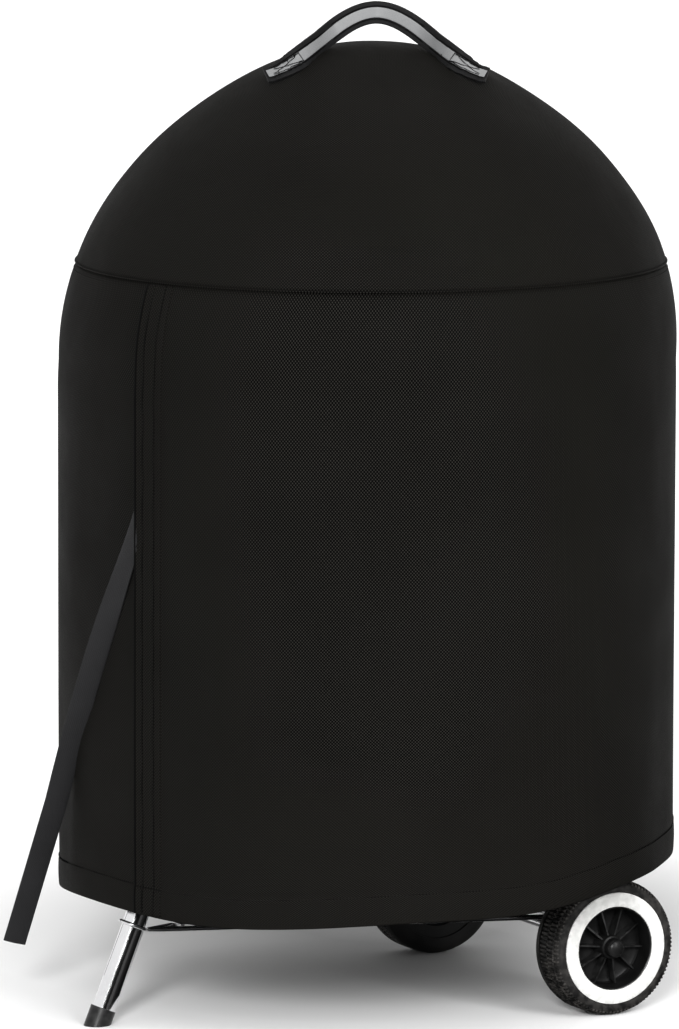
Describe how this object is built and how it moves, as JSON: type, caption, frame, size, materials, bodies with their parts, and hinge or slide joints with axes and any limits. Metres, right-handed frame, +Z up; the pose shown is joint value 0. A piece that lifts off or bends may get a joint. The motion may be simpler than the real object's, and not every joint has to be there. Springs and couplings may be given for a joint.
{
  "type": "kettle charcoal grill with fitted cover",
  "caption": "Covered kettle charcoal grill: domed lid on a round bowl, tube legs, one foot and two wheels, wire rack and grates, under a fitted fabric cover with a carry handle.",
  "frame": {"origin": "on the floor under the kettle's vertical axis", "axes": "+Z up, +X along the axle, -Y towards the leg with the foot"},
  "size_m": [0.6839, 0.6957, 1.1145],
  "materials": {
    "enamel": "gloss enamel",
    "polished_tube": "polished",
    "bright_wire": "plated",
    "bare_steel": "satin",
    "pan_aluminium": "satin",
    "black_plastic": "moulded",
    "handle_wood": "moulded nylon grip",
    "tread_rubber": "matt",
    "white_wall": "smooth",
    "cover_cloth": "coated weave",
    "webbing": "ribbed webbing",
    "silver_tape": "reflective tape"
  },
  "bodies": {
    "stand": {"bowl": "enamel", "leg_sockets": "enamel", "foot_leg": "polished_tube", "near_leg": "polished_tube", "far_leg": "polished_tube", "foot_cap": "black_plastic", "leg_plugs": "black_plastic", "axle": "bright_wire", "axle_caps": "bright_wire", "bottom_rack": "bright_wire", "rack_loops": "bright_wire", "pan_hanger": "bright_wire", "grate_tabs": "enamel", "near_handle": "handle_wood", "far_handle": "handle_wood", "handle_posts": "bare_steel", "handle_bolts": "bright_wire"},
    "pan": {"ash_pan": "pan_aluminium"},
    "sweep": {"sweep_spindle": "bare_steel", "sweep_blades": "bare_steel", "sweep_lever": "bare_steel", "sweep_grip": "black_plastic"},
    "coal_grate": {"charcoal_grate": "bare_steel"},
    "cook_grate": {"cooking_grate": "bright_wire", "grate_loops": "bright_wire"},
    "near_wheel": {"near_hub": "black_plastic", "near_tyre": "tread_rubber", "near_white_wall": "white_wall"},
    "far_wheel": {"far_hub": "black_plastic", "far_tyre": "tread_rubber", "far_white_wall": "white_wall"},
    "lid": {"lid_dome": "enamel", "lid_handle": "handle_wood", "lid_posts": "bare_steel", "lid_bolts": "bright_wire", "heat_shield": "bare_steel", "lid_hook": "bare_steel", "damper_rivet": "bright_wire"},
    "damper": {"lid_damper": "pan_aluminium"},
    "cover": {"cover_crown": "cover_cloth", "cover_skirt": "cover_cloth", "cover_seam": "cover_cloth", "cover_placket": "cover_cloth", "cover_strap": "webbing", "carry_handle": "webbing", "handle_stripe": "silver_tape", "handle_ends": "webbing"}
  },
  "joints": [
    {"name": "near_wheel_spin", "type": "hinge", "parent": "stand", "child": "near_wheel", "pos_m": [0.202, 0.19, 0.076], "axis": [1, 0, 0], "continuous": true},
    {"name": "far_wheel_spin", "type": "hinge", "parent": "stand", "child": "far_wheel", "pos_m": [-0.202, 0.19, 0.076], "axis": [1, 0, 0], "continuous": true},
    {"name": "ash_sweep", "type": "hinge", "parent": "stand", "child": "sweep", "pos_m": [0, 0, 0.57], "axis": [0, 0, 1], "range_deg": [-30, 30]},
    {"name": "ash_pan_lift", "type": "slide", "parent": "stand", "child": "pan", "axis": [0, 0, 1], "range_m": [0, 0.025]},
    {"name": "charcoal_grate_lift", "type": "slide", "parent": "stand", "child": "coal_grate", "axis": [0, 0, 1], "range_m": [0, 0.06]},
    {"name": "cooking_grate_lift", "type": "slide", "parent": "stand", "child": "cook_grate", "axis": [0, 0, 1], "range_m": [0, 0.01]},
    {"name": "lid_lift", "type": "slide", "parent": "stand", "child": "lid", "axis": [0, 0, 1], "range_m": [0, 0.35]},
    {"name": "lid_damper_turn", "type": "hinge", "parent": "lid", "child": "damper", "pos_m": [0.15, 0, 0.97675], "axis": [0.3711, 0, 0.9286], "range_deg": [-60, 60]},
    {"name": "cover_lift", "type": "slide", "parent": "lid", "child": "cover", "axis": [0, 0, 1], "range_m": [0, 1]}
  ]
}
